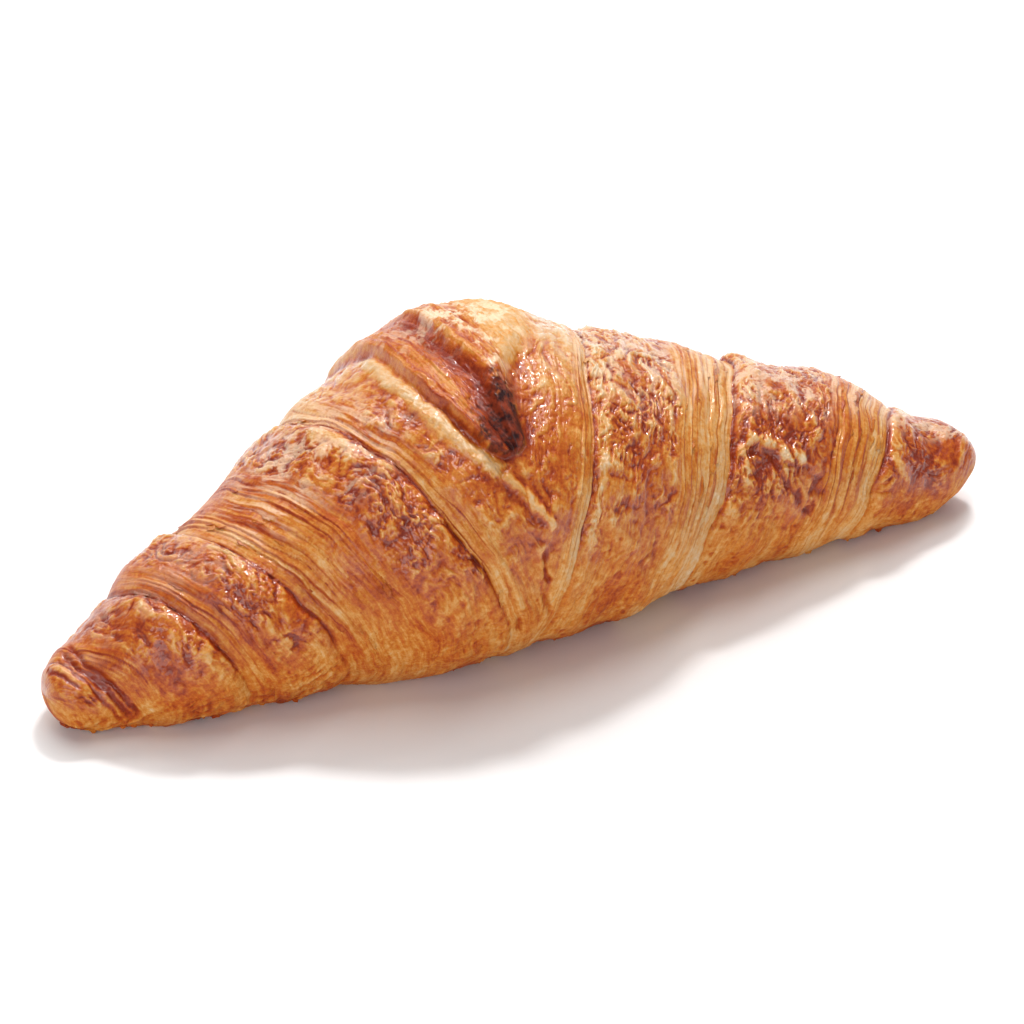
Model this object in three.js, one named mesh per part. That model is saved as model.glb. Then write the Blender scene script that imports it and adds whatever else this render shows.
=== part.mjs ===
// A straight butter croissant, rolled from a long triangle of laminated dough and baked on a flat tray.
// Millimetres, +Z up, the length along X, the front with the tongue's tip towards -Y.
// The origin is the middle of the base, under the centre of the bounding box.
// Angles round the body are in degrees from the top, positive towards the back.
import * as THREE from "three";
import { mergeVertices } from "three/addons/utils/BufferGeometryUtils.js";

// Overall form
const HALF_LENGTH = 87.5;
const WIDTH_OVER_HEIGHT = 1.15; // of the cross-section, before the tray flattens it
const AXIS_LEVEL = 0.86; // the axis lies this share of the radius above the tray
const BLUNT_LEFT = 7; // length of each rounded end
const BLUNT_RIGHT = 9;
const BLUNT_POWER = 2.6;
const BOW = 6.4; // how far the middle lies behind the two ends
const SKEW = 4.7;

// Vertical radius along the length: [x, radius]
const RADII = [
  [-87.5, 6.2], [-81, 6.9], [-76, 9], [-69, 12.4], [-62, 14.2], [-48, 17.6], [-28, 24.2], [-10, 27.6],
  [10, 25.7], [28, 21.1], [48, 16.8], [66, 13.2], [78, 8.4], [87.5, 4.4],
];
const LIFT_LENGTH = 11.5; // over which each end rises clear of the tray
const LIFT_LEFT = 1.6;
const LIFT_RIGHT = 4.8;

// The edges of the rolled sheet run round the body in slanting lines, nested like a V about one section
const V_CENTRE = -8;
const SLANT = 10; // mm along X for each radian of winding
const SLANT_POWER = 2.5;
// [angle, how far a line has wound by there in radians]
const WINDING = [
  [-180, 1.5], [-120, 2.05], [-60, 1.1], [0, 0], [20, -0.28], [50, -0.4], [90, -0.55], [140, -0.2], [180, 1.5],
];

// Each wrap of the sheet, by distance from the V. Its skin starts at a crease, stands proud by crown,
// shows its cut layers from layers to end, and drops there into the crease before the next wrap.
const WRAP_RISE = 4.5;
const LEFT = {
  slantEnds: 100,
  wraps: [
    { start: -60, layers: 20.5, end: 24.5, crown: 0.5, drop: 0.9 },
    { start: 24.5, layers: 35, end: 48.5, crown: 1.2, drop: 1.3 },
    { start: 48.5, layers: 57.2, end: 62, crown: 1.2, drop: 1.3 },
    { start: 62, layers: 71, end: 75.5, crown: 1, drop: 1.6 },
    { start: 75.5, layers: 200, end: 210, crown: 0.2, drop: 0 },
  ],
};
const RIGHT = {
  slantEnds: 125,
  wraps: [
    { start: -60, layers: 19.5, end: 22.5, crown: 0.5, drop: 0.6 },
    { start: 22.5, layers: 39.5, end: 51, crown: 1.1, drop: 1.1 },
    { start: 51, layers: 69, end: 80.5, crown: 1, drop: 1.6 },
    { start: 80.5, layers: 200, end: 210, crown: 0.7, drop: 0 },
  ],
};
const FULL_RELIEF_RADIUS = 20; // the relief is shallower where the body is thinner
const LAYER_STEP = 3.9;
const LAYER_DEPTH = 0.3;
const LOW_RELIEF = 0.35; // share of the wraps' relief that is left at the base
const RELIEF_FADES_FRONT = [-58, -118]; // angles over which it fades
const RELIEF_FADES_BACK = [80, 140];

// The tongue, the sheet's pointed end, lies over the top and stops part way down the front.
// Its two edges: [angle, x]
const TONGUE_TIP = -45;
const TONGUE_LEFT = [
  [-45, -10.5], [-41.5, -12.8], [-33, -15.4], [-24, -17.3], [-14, -19],
  [0, -20.5], [25, -21.5], [60, -24], [160, -23],
];
const TONGUE_RIGHT = [
  [-45, -7.5], [-41, -5.2], [-32, -4.4], [-25, -3.8], [-15, -1.3], [-7, 2.4], [7, 8.5], [40, 12], [160, 13],
];
const TONGUE_FADE = [110, 155]; // between these angles it sinks into the underside
const TONGUE_LIP = 2.4;
const TIP_MM_PER_DEGREE = 0.6;
// Across the front: [mm from the left edge, height] of a layered ridge, a hollow channel and a high rim
const TONGUE_FRONT = [[0, 1.2], [2, 2.3], [5, 2], [7.6, 0.8], [9.2, 1.2], [11.6, 2.9], [13.5, 3.2]];
const TONGUE_RIM = 13.5; // mm from the left edge
const TONGUE_FALL = 2.6; // from the rim to the right edge
const TONGUE_BACK = 1.5; // its even height over the back
const TONGUE_TURNS_PLAIN = [15, 50];
const TONGUE_END = 2.1; // height of its rounded end
const TONGUE_END_LENGTH = 7;

// A fold of the dough under the tongue stands up along its left edge: [angle, x]
const FOLD = [
  [-72, -5], [-67, -6], [-59, -8.4], [-52, -10.7], [-43, -13.6], [-36, -16.2],
  [-28, -18.2], [-15, -20.1], [0, -21.4], [17, -21.9], [30, -22.6],
];
const FOLD_HEIGHT = 0.9;
const FOLD_HALF_WIDTH = 2.8;
const FOLD_ENDS = 12; // degrees over which it rises at each end

// Mesh
const RINGS = 132;
const COLUMNS = 44;
const END_SHARE = 0.055; // of the rings, on each rounded end
const SHEAR_FROM_V = 32; // mm over which the rings start to follow the wraps
const SHEAR_FROM_END = 18;
const SQUEEZE = 0.62; // how far the rings close up towards the tongue's tip
const SQUEEZE_CENTRE = -8.5;
const SQUEEZE_REACH = [12, 30]; // mm from there, over which that fades
const SQUEEZE_TOP = 8; // degrees where it starts
const SQUEEZE_FULL = -42;
const SQUEEZE_ENDS = -100;
const CROWDING = 0.5; // of the columns, towards the upper front
const CROWDED_ANGLE = -0.5; // radians

const clamp = (t) => Math.min(1, Math.max(0, t));
const smooth = (t) => clamp(t) ** 2 * (3 - 2 * clamp(t));
const mix = (a, b, t) => a + (b - a) * t;
const inDegrees = (angle) => (angle * 180) / Math.PI;
const withinTurn = (angle) => Math.atan2(Math.sin(angle), Math.cos(angle));

// A smooth curve through knots of [place, value]. Where it closes, its first and last values are one.
function through(knots, place, closes = false) {
  const last = knots.length - 1;
  const slope = ([x0, y0], [x1, y1]) => (y1 - y0) / (x1 - x0);
  const beforeFirst = [knots[0][0] - knots[last][0] + knots[last - 1][0], knots[last - 1][1]];
  const afterLast = [knots[last][0] + knots[1][0] - knots[0][0], knots[1][1]];
  const tangent = (i) => {
    const before = i > 0 ? knots[i - 1] : closes ? beforeFirst : knots[0];
    const after = i < last ? knots[i + 1] : closes ? afterLast : knots[last];
    return slope(before, after);
  };
  let i = 0;
  while (i < last - 1 && place > knots[i + 1][0]) {
    i += 1;
  }
  const gap = knots[i + 1][0] - knots[i][0];
  const t = clamp((place - knots[i][0]) / gap);
  const cubic = t * t * (3 - 2 * t);
  const bend = tangent(i) * t * (1 - t) ** 2 - tangent(i + 1) * t ** 2 * (1 - t);
  return mix(knots[i][1], knots[i + 1][1], cubic) + gap * bend;
}

// How far a wrap's line leans along X for each radian, at a distance from the V
const slantAt = (distance, side) => SLANT * (1 - clamp(distance / side.slantEnds) ** SLANT_POWER);

// Distance from the V, counted along the wraps' lines to the top of the body
function wrapDistance(x, winding, side) {
  let distance = Math.abs(x - V_CENTRE);
  for (let pass = 0; pass < 4; pass++) {
    distance = Math.abs(x - V_CENTRE) + slantAt(distance, side) * winding;
  }
  return distance;
}

// Height of the wraps' skins, creases and layers at one side's distance
function wrapRelief(distance, side) {
  const k = Math.max(0, side.wraps.findLastIndex((wrap) => distance >= wrap.start));
  const { start, layers, end, crown, drop } = side.wraps[k];
  const foot = k > 0 ? side.wraps[k - 1].drop : 0;
  const shoulder = (1 - (1 - clamp((distance - start) / WRAP_RISE)) ** 2) ** 0.7;
  const cut = clamp((distance - layers) / (end - layers));
  const ridges = LAYER_DEPTH * Math.sin((2 * Math.PI * (distance - layers)) / LAYER_STEP);
  return -foot + (crown + foot) * shoulder - (crown + drop) * cut ** 1.4 + ridges * smooth(4 * cut * (1 - cut));
}

// Height of the tongue over the wraps, 0 beyond its edges
function tongueRelief(x, angle) {
  const fromLeft = x - through(TONGUE_LEFT, angle);
  const width = through(TONGUE_RIGHT, angle) - through(TONGUE_LEFT, angle);
  const fromTip = (angle - TONGUE_TIP) * TIP_MM_PER_DEGREE;
  const inside = smooth(Math.min(fromLeft, width - fromLeft, fromTip) / TONGUE_LIP);
  const rim = Math.min(TONGUE_RIM, width * 0.8);
  const beyondRim = clamp((fromLeft - rim) / (width - rim));
  const acrossFront = through(TONGUE_FRONT, Math.min(fromLeft / rim, 1) * TONGUE_RIM) - TONGUE_FALL * beyondRim;
  const profile = mix(TONGUE_END, acrossFront, smooth(fromTip / TONGUE_END_LENGTH));
  const [frontEnds, backStarts] = TONGUE_TURNS_PLAIN;
  const height = mix(profile, TONGUE_BACK, smooth((angle - frontEnds) / (backStarts - frontEnds)));
  const [sinks, sunk] = TONGUE_FADE;
  return height * inside * (1 - smooth((angle - sinks) / (sunk - sinks)));
}

// Height of the fold beside the tongue
function foldRelief(x, angle) {
  const rises = smooth((angle - FOLD[0][0]) / FOLD_ENDS) * smooth((FOLD[FOLD.length - 1][0] - angle) / FOLD_ENDS);
  const away = Math.abs(x - through(FOLD, angle)) / FOLD_HALF_WIDTH;
  return FOLD_HEIGHT * smooth(1 - away) * rises;
}

// How far the wraps stand out at an angle: fully over the top, less towards the base
function reliefShare(angle) {
  const fade = (ends) => smooth((angle - ends[1]) / (ends[0] - ends[1]));
  return mix(LOW_RELIEF, 1, fade(RELIEF_FADES_FRONT) * fade(RELIEF_FADES_BACK));
}

// The slow swells and dents of a baked skin
function unevenness(x, angle) {
  return (
    0.3 * Math.sin(0.17 * x + 1.9 * Math.sin(angle) + 0.7) +
    0.22 * Math.sin(0.31 * x - 2.6 * Math.cos(angle) + 2.1) +
    0.18 * Math.sin(0.53 * x + 3.3 * Math.sin(angle + 1.1) + 4)
  );
}

// How far the section has opened at x, from 0 at the very end to 1 past the rounding
function opening(x) {
  const blunt = x < 0 ? BLUNT_LEFT : BLUNT_RIGHT;
  return (1 - clamp(1 - (HALF_LENGTH - Math.abs(x)) / blunt) ** BLUNT_POWER) ** (1 / BLUNT_POWER);
}

// The surface at x along the body and an angle in radians round it
function surfacePoint(x, angle) {
  const radius = through(RADII, x);
  const winding = through(WINDING, inDegrees(angle), true);
  const left = wrapRelief(wrapDistance(x, winding, LEFT), LEFT);
  const right = wrapRelief(wrapDistance(x, winding, RIGHT), RIGHT);
  const wraps = mix(left, right, smooth((x - V_CENTRE) / 5 + 0.5)) * reliefShare(inDegrees(angle));
  const share = Math.min(1, radius / FULL_RELIEF_RADIUS);
  const centre = tongueRelief(x, inDegrees(angle)) + foldRelief(x, inDegrees(angle));
  const relief = (wraps + unevenness(x, angle)) * share + centre;
  const t = x / HALF_LENGTH;
  const across = (radius * WIDTH_OVER_HEIGHT + relief) * opening(x) * Math.sin(angle);
  const up = (radius + relief) * opening(x) * Math.cos(angle);
  const lift = (x < 0 ? LIFT_LEFT : LIFT_RIGHT) * smooth(1 - (HALF_LENGTH - Math.abs(x)) / LIFT_LENGTH);
  const axis = AXIS_LEVEL * radius + lift;
  return new THREE.Vector3(x, (BOW + SKEW * t) * (1 - t * t) + across, Math.max(0, axis + up));
}

// x at the top of the body for a ring, given as a share of all rings. They crowd on the rounded ends.
function ringPlace(share) {
  const eased = (s) => 1 - Math.cos((Math.PI / 2) * (s / END_SHARE));
  if (share < END_SHARE) return -HALF_LENGTH + BLUNT_LEFT * eased(share);
  if (share > 1 - END_SHARE) return HALF_LENGTH - BLUNT_RIGHT * eased(1 - share);
  return mix(-HALF_LENGTH + BLUNT_LEFT, HALF_LENGTH - BLUNT_RIGHT, (share - END_SHARE) / (1 - 2 * END_SHARE));
}

// How far a ring leans in beside the tongue, whose edges close up towards its tip
function squeeze(place, angle) {
  const degrees = inDegrees(angle);
  const [near, far] = SQUEEZE_REACH;
  const reach = smooth((far - Math.abs(place - SQUEEZE_CENTRE)) / (far - near));
  const closes = smooth((SQUEEZE_TOP - degrees) / (SQUEEZE_TOP - SQUEEZE_FULL));
  const opens = smooth((degrees - SQUEEZE_ENDS) / (SQUEEZE_FULL - SQUEEZE_ENDS));
  return SQUEEZE * (SQUEEZE_CENTRE - place) * reach * closes * opens;
}

// x where a ring crosses an angle: the rings lean with the wraps, but stand upright at the V and the ends
function ringCrossing(place, angle) {
  const side = place < V_CENTRE ? LEFT : RIGHT;
  const distance = Math.abs(place - V_CENTRE);
  const follow = smooth(distance / SHEAR_FROM_V) * smooth((HALF_LENGTH - Math.abs(place)) / SHEAR_FROM_END);
  const lean = slantAt(distance, side) * follow * through(WINDING, inDegrees(angle), true);
  return place + Math.sign(V_CENTRE - place) * lean + squeeze(place, angle);
}

// A unit sphere with its poles at the two ends, stretched ring by ring into the croissant
function croissantGeometry() {
  const sphere = new THREE.SphereGeometry(1, COLUMNS, RINGS);
  sphere.deleteAttribute("normal");
  sphere.deleteAttribute("uv");
  const geometry = mergeVertices(sphere, 1e-5);
  const { position } = geometry.attributes;
  const onSphere = new THREE.Vector3();
  for (let i = 0; i < position.count; i++) {
    onSphere.fromBufferAttribute(position, i);
    const turn = Math.atan2(onSphere.z, onSphere.x);
    const angle = withinTurn(turn - CROWDING * Math.sin(turn - CROWDED_ANGLE));
    const place = ringPlace(1 - Math.acos(onSphere.y) / Math.PI);
    const { x, y, z } = surfacePoint(ringCrossing(place, angle), angle);
    position.setXYZ(i, x, y, z);
  }
  geometry.computeBoundingBox();
  const { min, max } = geometry.boundingBox;
  geometry.translate(-(min.x + max.x) / 2, -(min.y + max.y) / 2, -min.z);
  geometry.computeVertexNormals();
  return geometry;
}

const crust = new THREE.MeshStandardMaterial({ color: 0xc07a3c, roughness: 0.4, metalness: 0 });
const body = new THREE.Mesh(croissantGeometry(), crust);
body.name = "croissant";

const croissant = new THREE.Group();
croissant.add(body);

export default croissant;
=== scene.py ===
"""A straight butter croissant: its baked surface, flakes and crumbs, on a pale floor in soft light."""
import math
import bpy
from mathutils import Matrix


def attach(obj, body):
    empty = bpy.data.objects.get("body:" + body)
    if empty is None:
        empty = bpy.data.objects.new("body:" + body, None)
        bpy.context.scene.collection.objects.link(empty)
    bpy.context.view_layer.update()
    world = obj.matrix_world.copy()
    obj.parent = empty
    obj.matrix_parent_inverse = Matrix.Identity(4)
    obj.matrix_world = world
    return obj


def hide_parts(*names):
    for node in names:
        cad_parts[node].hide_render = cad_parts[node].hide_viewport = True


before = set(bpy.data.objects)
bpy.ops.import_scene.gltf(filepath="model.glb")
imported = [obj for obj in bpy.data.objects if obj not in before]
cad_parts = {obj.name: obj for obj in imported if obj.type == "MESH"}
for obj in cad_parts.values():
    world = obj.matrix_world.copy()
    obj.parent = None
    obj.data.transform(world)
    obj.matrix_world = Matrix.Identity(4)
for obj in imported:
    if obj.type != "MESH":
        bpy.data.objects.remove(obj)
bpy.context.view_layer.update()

from types import SimpleNamespace

import bmesh
import bpy
import mathutils
import numpy as np

MM = 0.001

# Overall form, in millimetres, as in the solid. Angles round the body are in degrees from the top,
# positive towards the back.
HALF_LENGTH = 87.5
WIDTH_OVER_HEIGHT = 1.15
AXIS_LEVEL = 0.86
BLUNT_LEFT = 7
BLUNT_RIGHT = 9
BLUNT_POWER = 2.6
BOW = 6.4
SKEW = 4.7
RADII = [
    (-87.5, 6.2), (-81, 6.9), (-76, 9), (-69, 12.4), (-62, 14.2), (-48, 17.6), (-28, 24.2), (-10, 27.6),
    (10, 25.7), (28, 21.1), (48, 16.8), (66, 13.2), (78, 8.4), (87.5, 4.4),
]
LIFT_LENGTH = 11.5
LIFT_LEFT = 1.6
LIFT_RIGHT = 4.8

# The lines of the rolled sheet's edges
V_CENTRE = -8
SLANT = 10
SLANT_POWER = 2.5
WINDING = [
    (-180, 1.5), (-120, 2.05), (-60, 1.1), (0, 0), (20, -0.28),
    (50, -0.4), (90, -0.55), (140, -0.2), (180, 1.5),
]

# Each wrap: where its skin starts, its cut layers start and end, over what length it rises, how high it
# stands, how deep the crease after it is, how browned its skin and its cut layers are, and how many layers
LEFT = dict(
    slant_ends=100,
    start=(-60, 24.5, 48.5, 62, 75.5),
    layers=(20.5, 35, 57.2, 71, 200),
    end=(24.5, 48.5, 62, 75.5, 210),
    rise=(3.2, 3.2, 3.2, 3, 3),
    crown=(0.5, 1.2, 1.2, 1, 0.2),
    drop=(0.8, 1.3, 1.4, 1.7, 0),
    brown=(0.53, 0.67, 0.70, 0.72, 0.66),
    strip=(0.48, 0.56, 0.66, 0.62, 0.5),
    count=(3, 9, 3, 4, 1),
)
RIGHT = dict(
    slant_ends=125,
    start=(-60, 22.5, 51, 80.5),
    layers=(19.5, 39.5, 69, 200),
    end=(22.5, 51, 80.5, 210),
    rise=(3.2, 7, 3, 2.6),
    crown=(0.5, 1.1, 1, 0.7),
    drop=(0.45, 1.0, 1.6, 0),
    brown=(0.53, 0.60, 0.66, 0.68),
    strip=(0.44, 0.40, 0.47, 0.5),
    count=(3, 8, 8, 1),
)
FULL_RELIEF_RADIUS = 20
LOW_RELIEF = 0.28
LINES_DRIFT = 1.0

# Places that the oven browned more, or less where the last value is below 0: degrees, x, reach round and
# along in mm, and how much
PATCHES = [
    (7, -39, 5, 4, 0.12), (-33, -33, 6, 4, 0.14), (-48, -30, 5, 4, 0.07), (-65, -29, 5, 3, 0.05),
    (-12, -60, 4, 3, 0.10), (-45, -53, 5, 4, 0.14), (-62, -48.5, 6, 3, 0.14), (-23, -77, 3, 3, 0.10),
    (-69, -72, 4, 4, 0.14), (-95, -69, 4, 3, 0.12), (-38, 17, 6, 4, 0.10), (-64, 13, 7, 5, 0.10),
    (-73, 21, 5, 4, 0.10), (-36, 40, 6, 3, 0.24), (-46, 48, 5, 5, 0.12), (-68, 39, 5, 4, 0.14),
    (-95, 49, 4, 3, 0.08), (-27, 73, 4, 4, 0.12), (-50, 78, 4, 4, 0.12), (-84, 72, 8, 8, 0.14),
    (-70, -12, 5, 5, 0.06), (-30, 8, 5, 4, 0.06), (-108, 12, 8, 9, 0.16), (-105, -30, 5, 7, 0.06),
    (35, -33, 12, 4, -0.16), (0, -27, 12, 6, 0.09), (-22, -26, 8, 6, 0.15), (-55, -12, 9, 8, -0.06),
    (2, 9, 9, 4, -0.22), (16, 0, 12, 6, -0.22), (-6, 5.5, 3, 3, 0.16), (-62, 2, 10, 2, -0.10),
    (-95, -2, 10, 3, -0.10), (-115, 24, 8, 5, -0.12), (-51, -17, 6, 5, 0.08),
]

# The tongue
TONGUE_TIP = -45
TONGUE_LEFT = [
    (-45, -10.5), (-41.5, -12.8), (-33, -15.4), (-24, -17.3), (-14, -19),
    (0, -20.5), (25, -21.5), (60, -24), (160, -23),
]
TONGUE_RIGHT = [
    (-45, -7.5), (-41, -5.2), (-32, -4.4), (-25, -3.8), (-15, -1.3),
    (-7, 2.4), (7, 8.5), (40, 12), (160, 13),
]
TONGUE_FADE = (110, 155)
TONGUE_LIP = 1.3
TONGUE_SLOPE_END = 5.5
TIP_MM_PER_DEGREE = 0.6
TONGUE_FRONT = [
    (0, 1.2), (1.4, 2.3), (3, 2.3), (5, 2), (7.2, 0.8), (9, 1), (10.2, 2.6), (11.6, 3.1), (13.5, 3.2),
]
TONGUE_RIM = 13.5
TONGUE_FALL = 2.6
TONGUE_BACK = 1.5
TONGUE_TURNS_PLAIN = (15, 50)

# Single ridges and grooves, each as a line through places (degrees, x in mm)
BAND = [
    (30, -22.6), (17, -21.9), (0, -21.4), (-15, -20.1),
    (-28, -18.2), (-36, -16.2), (-43, -13.6), (-52, -10.7),
]
BAND_TAIL = [(-48, -12), (-52, -10.7), (-59, -8.4), (-67, -6), (-72, -5)]
THIN_RIDGE = [(-61, -18.1), (-69, -17), (-77, -15.3), (-85, -13.9), (-93, -12.6), (-108, -11.3)]
SLIT = [(-76, -7), (-87, -7.1), (-97, -7.1), (-112, -5.6)]
SHORT_SLIT = [(-98, -12.4), (-112, -11.1)]
END_GROOVE = [(30, -83), (0, -82.6), (-22, -81.9), (-57, -79.4), (-94, -77), (-120, -75)]
END_LINE = [(20, -86.6), (5, -86.3), (-20, -85.3), (-56, -82.6)]
FLAP = [(-43, 37.8), (-45, 38.8), (-47, 42.1), (-53, 45.3), (-55, 47.5), (-56, 49)]
FLAP_VALLEY = [(-47, 37.6), (-53, 38.4), (-56, 42.1), (-66, 43.6), (-74, 44.4), (-84, 46.8)]
FLAP_EDGE = [(-28, 59), (-45, 56), (-63, 52.4), (-74, 50.1), (-92, 46)]

APART_FROM_WRAPS = 300  # mm, so that the tongue's fibres differ from the wraps'
PALE_STRIP = 24.4  # distance from the V of the pale edge where the first right wrap starts
BURNT = (-34, -6.6, 6.4, 5.8)  # the tongue's burnt end: degrees, x, reach round and along

# How far each kind of relief stands out or lies deep, in mm
FOLDS_HIGH = 0.95
WRINKLES_HIGH = 0.42
LARGE_PLATES_HIGH = 0.34
SMALL_PLATES_HIGH = 0.16
LEAVES_HIGH = 0.12
FINE_HIGH = 0.025
SWELLS_HIGH = 0.55
STREAKS_HIGH = 0.24
ROPES_HIGH = 0.30
SHINGLES_HIGH = 0.6
SCALES_HIGH = 0.9
FLAP_HIGH = 0.8
BAND_HIGH = 0.8
THIN_RIDGE_HIGH = 0.4
SLITS_DEEP = 0.6
END_GROOVE_DEEP = 0.5
END_LINE_DEEP = 0.4
END_BAND_DEEP = 0.3

# Browning before its mottling, from 0 for pale to 1 for dark brown
LOW_BROWN = 0.56
TONGUE_RIDGE_BROWN = 0.60
TONGUE_CHANNEL_BROWN = 0.84
TONGUE_RIM_BROWN = 0.64
TONGUE_SLOPE_BROWN = 0.31
TONGUE_BACK_BROWN = 0.55

# Loose scales and crumbs, in mm. A range is the least and the most.
FLAKES = 120
FLAKES_END = 70  # from the middle, beyond which there are none
FLAKE_SIDES = 14
FLAKE_THICK = 0.16
FLAKE_SUNK = 0.12
FLAKE_HALF_LENGTH = (0.7, 2.0)
FLAKE_HALF_WIDTH = (0.3, 0.6)
FLAKE_LIFT = (0.15, 0.4)
CRUMBS = 80
CRUMB_SIZE = (0.3, 0.8)
CRUMB_LEVEL = 1.8
CRUMB_SUNK_SHARE = 0.35
CRUMB_CLEAR_OF_FLOOR = 0.05

# The grid of the surface
RINGS = 1500
COLUMNS = 760
END_SHARE = 0.055  # of the rings, at each end
PLAIN_END_RINGS = 40  # without crumbs, at each end
SHEAR_FROM_V = 32
SHEAR_FROM_END = 18
CROWDING = 0.35
CROWDED_ANGLE = -0.5


def clamp(t):
    return np.clip(t, 0.0, 1.0)


def smooth(t):
    t = clamp(t)
    return t * t * (3 - 2 * t)


def mix(a, b, t):
    return a + (b - a) * t


def bump_at(t, centre, half):
    """1 at the centre, falling to 0 at half away."""
    return smooth(1 - np.abs(t - centre) / half)


def through(knots, place, closes=False):
    """A smooth curve through knots of (place, value)."""
    k = np.array(knots, float)
    px, py = k[:, 0], k[:, 1]
    if closes:
        before = (px[0] - px[-1] + px[-2], py[-2])
        after = (px[-1] + px[1] - px[0], py[1])
    else:
        before, after = k[0], k[-1]
    ax = np.concatenate([[before[0]], px, [after[0]]])
    ay = np.concatenate([[before[1]], py, [after[1]]])
    slope = (ay[2:] - ay[:-2]) / (ax[2:] - ax[:-2])
    i = np.clip(np.searchsorted(px, place) - 1, 0, len(px) - 2)
    gap = px[i + 1] - px[i]
    t = clamp((place - px[i]) / gap)
    bend = slope[i] * t * (1 - t) ** 2 - slope[i + 1] * t * t * (1 - t)
    return mix(py[i], py[i + 1], t * t * (3 - 2 * t)) + gap * bend


# Noise

rng = np.random.default_rng(7)
GRADIENTS = rng.normal(size=(256, 3))
GRADIENTS /= np.linalg.norm(GRADIENTS, axis=1)[:, None]
GRADIENTS = GRADIENTS.astype(np.float32)
SHUFFLE = np.concatenate([rng.permutation(256)] * 3).astype(np.int32)


def noise(x, y, z=0.0, seed=0):
    """Gradient noise of three coordinates, mostly between -1 and 1."""
    x, y, z = np.broadcast_arrays(
        np.asarray(x, np.float32), np.asarray(y, np.float32), np.float32(z) + np.float32(seed * 17.37)
    )
    cell = [np.floor(v) for v in (x, y, z)]
    inside = [v - c for v, c in zip((x, y, z), cell)]
    index = [c.astype(np.int32) & 255 for c in cell]
    fade = [t * t * t * (t * (t * 6 - 15) + 10) for t in inside]
    total = 0.0
    for dx in (0, 1):
        hx = SHUFFLE[index[0] + dx]
        wx = fade[0] if dx else 1 - fade[0]
        for dy in (0, 1):
            hy = SHUFFLE[hx + ((index[1] + dy) & 255)]
            wy = fade[1] if dy else 1 - fade[1]
            for dz in (0, 1):
                g = GRADIENTS[SHUFFLE[hy + ((index[2] + dz) & 255)]]
                wz = fade[2] if dz else 1 - fade[2]
                dot = g[..., 0] * (inside[0] - dx) + g[..., 1] * (inside[1] - dy)
                dot = dot + g[..., 2] * (inside[2] - dz)
                total = total + wx * wy * wz * dot
    return total * 1.6


def fractal(x, y, z=0.0, seed=0, octaves=3, gain=0.5):
    """Noise summed over octaves, each twice as fine and weaker by gain."""
    total = 0.0
    weight = 1.0
    sum_weight = 0.0
    for octave in range(octaves):
        scale = 2.0 ** octave
        total = total + weight * noise(x * scale, y * scale, z * scale, seed + 31 * octave)
        sum_weight += weight
        weight *= gain
    return total / sum_weight


def ridged(x, y, z=0.0, seed=0, octaves=3, gain=0.5):
    """Sharp crests from 0 to 1, where the noise crosses zero."""
    total = 0.0
    weight = 1.0
    sum_weight = 0.0
    for octave in range(octaves):
        scale = 2.0 ** octave
        n = 1 - np.abs(noise(x * scale, y * scale, z * scale, seed + 31 * octave)) * 1.6
        total = total + weight * clamp(n) ** 2
        sum_weight += weight
        weight *= gain
    return total / sum_weight


def billows(x, y, z=0.0, seed=0, octaves=3, gain=0.5):
    """Round lumps from 0 to 1, with sharp valleys where the noise crosses zero."""
    total = 0.0
    weight = 1.0
    sum_weight = 0.0
    for octave in range(octaves):
        scale = 2.0 ** octave
        total = total + weight * np.abs(noise(x * scale, y * scale, z * scale, seed + 31 * octave)) * 1.5
        sum_weight += weight
        weight *= gain
    return clamp(total / sum_weight)


def plates(u, v, seed):
    """The height of tilted plates with soft joints, like crumpled foil."""
    base_u, base_v = np.floor(u), np.floor(v)
    nearest = np.full(u.shape, 9.0)
    second = nearest.copy()
    height = np.zeros(u.shape)
    for du in (-1, 0, 1):
        for dv in (-1, 0, 1):
            index_u = (base_u + du).astype(np.int32) & 255
            index_v = (base_v + dv + seed).astype(np.int32) & 255
            chance = SHUFFLE[SHUFFLE[index_u] + index_v]
            offset, tilt = GRADIENTS[chance], GRADIENTS[SHUFFLE[chance + 1]]
            from_u = u - (base_u + du + 0.5 + 0.45 * offset[..., 0])
            from_v = v - (base_v + dv + 0.5 + 0.45 * offset[..., 1])
            gap = np.hypot(from_u, from_v)
            nearer = gap < nearest
            second = np.where(nearer, nearest, np.minimum(second, gap))
            nearest = np.where(nearer, gap, nearest)
            tilted = from_u * tilt[..., 0] + from_v * tilt[..., 1] + 0.35 * tilt[..., 2]
            height = np.where(nearer, tilted, height)
    return height * smooth((second - nearest) / 0.3)


# Form

def slant_at(distance, side):
    return SLANT * (1 - clamp(distance / side["slant_ends"]) ** SLANT_POWER)


def wrap_distance(x, winding, side):
    straight = np.abs(x - V_CENTRE)
    distance = straight
    for _ in range(4):
        distance = straight + slant_at(distance, side) * winding
    return distance


def ring_places(count):
    share = np.linspace(0, 1, count)
    left = -HALF_LENGTH + BLUNT_LEFT * (1 - np.cos(math.pi / 2 * clamp(share / END_SHARE)))
    right = HALF_LENGTH - BLUNT_RIGHT * (1 - np.cos(math.pi / 2 * clamp((1 - share) / END_SHARE)))
    along = (share - END_SHARE) / (1 - 2 * END_SHARE)
    middle = mix(-HALF_LENGTH + BLUNT_LEFT, HALF_LENGTH - BLUNT_RIGHT, along)
    return np.where(share < END_SHARE, left, np.where(share > 1 - END_SHARE, right, middle))


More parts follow.
